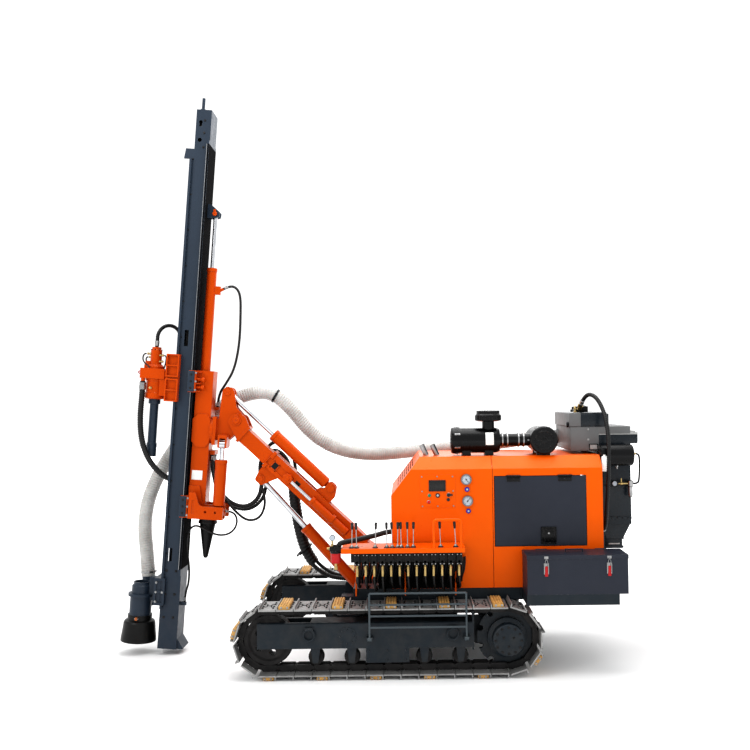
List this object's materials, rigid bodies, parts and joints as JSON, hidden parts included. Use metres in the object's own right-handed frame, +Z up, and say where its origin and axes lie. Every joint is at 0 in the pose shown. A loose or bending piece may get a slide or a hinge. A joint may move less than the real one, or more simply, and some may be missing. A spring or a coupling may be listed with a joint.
{
  "type": "crawler drilling rig",
  "caption": "Rock drilling rig on steel tracks with a tall leaning feed mast on a telescopic boom, engine hood, control console and dust collector.",
  "frame": {"origin": "on the ground, under the middle of the machine's length and width", "axes": "+Z up, +X from the mast towards the engine end, +Y to the side away from the operator's console"},
  "size_m": [4.9432, 1.983, 5.384],
  "materials": {
    "orange": "gloss enamel",
    "slate": "satin enamel",
    "black_paint": "satin enamel",
    "track_steel": "worn",
    "grey_paint": "satin enamel",
    "chrome_rod": "polished",
    "hose_black": "matt",
    "hose_white": "translucent spiral hose",
    "skirt_rubber": "matt",
    "steel": "bare",
    "dark_door": "satin enamel",
    "dials": "gloss",
    "knobs": "gloss"
  },
  "bodies": {
    "chassis": {"track_left": "track_steel", "track_right": "track_steel", "track_sprockets": "slate", "track_idlers": "track_steel", "track_rollers": "track_steel", "undercarriage": "slate", "main_frame": "slate", "engine_block": "black_paint", "hood_front": "orange", "hood_rear": "orange", "instruments": "dials", "exhaust_pipes": "steel", "air_filters": "black_paint", "dust_collector": "grey_paint", "dust_drum": "black_paint", "toolbox": "dark_door", "console_frame": "orange", "valve_bank": "black_paint", "control_levers": "knobs", "lubricator": "black_paint", "boom_base": "orange", "collector_hoses": "hose_black", "boom_hoses": "hose_black", "boom_hose_outer": "hose_black", "suction_hose": "hose_white"},
    "door_left": {"door_left": "dark_door"},
    "door_right": {"door_right": "dark_door"},
    "lid": {"toolbox_lid": "dark_door"},
    "step": {"side_step": "slate"},
    "boom": {"boom_outer": "orange", "extend_barrel": "orange"},
    "boom_slide": {"boom_inner": "orange", "extend_rod": "chrome_rod"},
    "lift_ram": {"lift_barrel": "orange"},
    "lift_ram_rod": {"lift_rod": "chrome_rod"},
    "head": {"head_bracket": "orange"},
    "tilt_ram": {"tilt_barrel": "orange"},
    "tilt_ram_rod": {"tilt_rod": "chrome_rod"},
    "column": {"slide_column": "orange", "column_boot": "skirt_rubber", "mast_barrel": "orange", "loop_hose": "hose_black", "mast_ram_hose": "hose_black"},
    "swing_ram": {"swing_barrel": "orange"},
    "swing_ram_rod": {"swing_rod": "chrome_rod"},
    "mast": {"mast_beam": "slate", "feed_chain": "track_steel", "mast_rod": "chrome_rod", "head_hoses": "hose_black", "mast_foot_hose": "hose_black"},
    "sled": {"head_sled": "orange", "rotary_head": "orange", "motor_hose": "hose_black"},
    "spindle": {"drill_rod": "slate"},
    "dust_hood": {"suction_hood": "slate", "hood_skirt": "skirt_rubber"}
  },
  "joints": [
    {"name": "boom_lift", "type": "hinge", "parent": "chassis", "child": "boom", "pos_m": [-0.07643, 0, 0.964], "axis": [0, 1, 0], "range_deg": [-25, 6], "deforming": ["suction_hose", "boom_hoses", "boom_hose_outer"]},
    {"name": "boom_extend", "type": "slide", "parent": "boom", "child": "boom_slide", "axis": [-0.7284, 0, 0.6852], "range_m": [0, 0.22]},
    {"name": "mast_tilt", "type": "hinge", "parent": "boom_slide", "child": "head", "pos_m": [-1.32877, 0, 2.22035], "axis": [0, 1, 0], "range_deg": [-8, 50]},
    {"name": "mast_swing", "type": "hinge", "parent": "head", "child": "column", "pos_m": [-1.58188, 0, 2.12527], "axis": [0.9974, 0, -0.0724], "range_deg": [-25, 25], "deforming": ["loop_hose"]},
    {"name": "mast_slide", "type": "slide", "parent": "column", "child": "mast", "axis": [0.0724, 0, 0.9974], "range_m": [-0.4, 0.45], "deforming": ["mast_foot_hose"]},
    {"name": "head_feed", "type": "slide", "parent": "mast", "child": "sled", "axis": [0.0724, 0, 0.9974], "range_m": [-1.3, 1.85], "deforming": ["head_hoses"]},
    {"name": "spindle_turn", "type": "hinge", "parent": "sled", "child": "spindle", "pos_m": [-2.16288, 0, 2.07719], "axis": [0.0724, 0, 0.9974], "continuous": true},
    {"name": "dust_hood_slide", "type": "slide", "parent": "mast", "child": "dust_hood", "axis": [0.0724, 0, 0.9974], "range_m": [0, 0.15]},
    {"name": "door_left_swing", "type": "hinge", "parent": "chassis", "child": "door_left", "pos_m": [1.50757, -0.6293, 1.702], "axis": [-1, 0, 0], "range_deg": [0, 85]},
    {"name": "door_right_swing", "type": "hinge", "parent": "chassis", "child": "door_right", "pos_m": [1.50757, 0.6293, 1.702], "axis": [1, 0, 0], "range_deg": [0, 85]},
    {"name": "toolbox_lid_swing", "type": "hinge", "parent": "chassis", "child": "lid", "pos_m": [1.77157, -0.626, 1.042], "axis": [-1, 0, 0], "range_deg": [0, 75]},
    {"name": "step_fold", "type": "hinge", "parent": "chassis", "child": "step", "pos_m": [-0.02943, -0.992, 0.352], "axis": [1, 0, 0], "range_deg": [0, 95]},
    {"name": "lift_ram_pivot", "type": "hinge", "parent": "chassis", "child": "lift_ram", "pos_m": [-0.12343, 0, 0.56], "axis": [0, 1, 0], "range_deg": [-21.55, 5.55]},
    {"name": "lift_ram_stroke", "type": "slide", "parent": "lift_ram", "child": "lift_ram_rod", "axis": [-0.6667, 0, 0.7453], "range_m": [-0.1491, 0.0373]},
    {"name": "tilt_ram_pivot", "type": "hinge", "parent": "boom_slide", "child": "tilt_ram", "pos_m": [-0.42838, 0, 1.55457], "axis": [0, 1, 0], "range_deg": [-1.68, 7.87]},
    {"name": "tilt_ram_stroke", "type": "slide", "parent": "tilt_ram", "child": "tilt_ram_rod", "axis": [-0.7242, 0, 0.6896], "range_m": [-0.1784, 0.0302]},
    {"name": "swing_ram_pivot", "type": "hinge", "parent": "column", "child": "swing_ram", "pos_m": [-1.49325, -0.16, 1.35684], "axis": [0.9974, 0, -0.0724], "range_deg": [-4.98, 4.98]},
    {"name": "swing_ram_stroke", "type": "slide", "parent": "swing_ram", "child": "swing_ram_rod", "axis": [0.0724, 0, 0.9974], "range_m": [-0.0672, 0.0672]}
  ],
  "couplings": [
    {"joint": "lift_ram_pivot", "follows": "boom_lift", "ratio": 0.84182},
    {"joint": "lift_ram_stroke", "follows": "boom_lift", "m_per_rad": 0.33704},
    {"joint": "tilt_ram_pivot", "follows": "mast_tilt", "ratio": 0.14746},
    {"joint": "tilt_ram_stroke", "follows": "mast_tilt", "m_per_rad": -0.20217},
    {"joint": "swing_ram_pivot", "follows": "mast_swing", "ratio": 0.17911},
    {"joint": "swing_ram_stroke", "follows": "mast_swing", "m_per_rad": 0.14941}
  ]
}
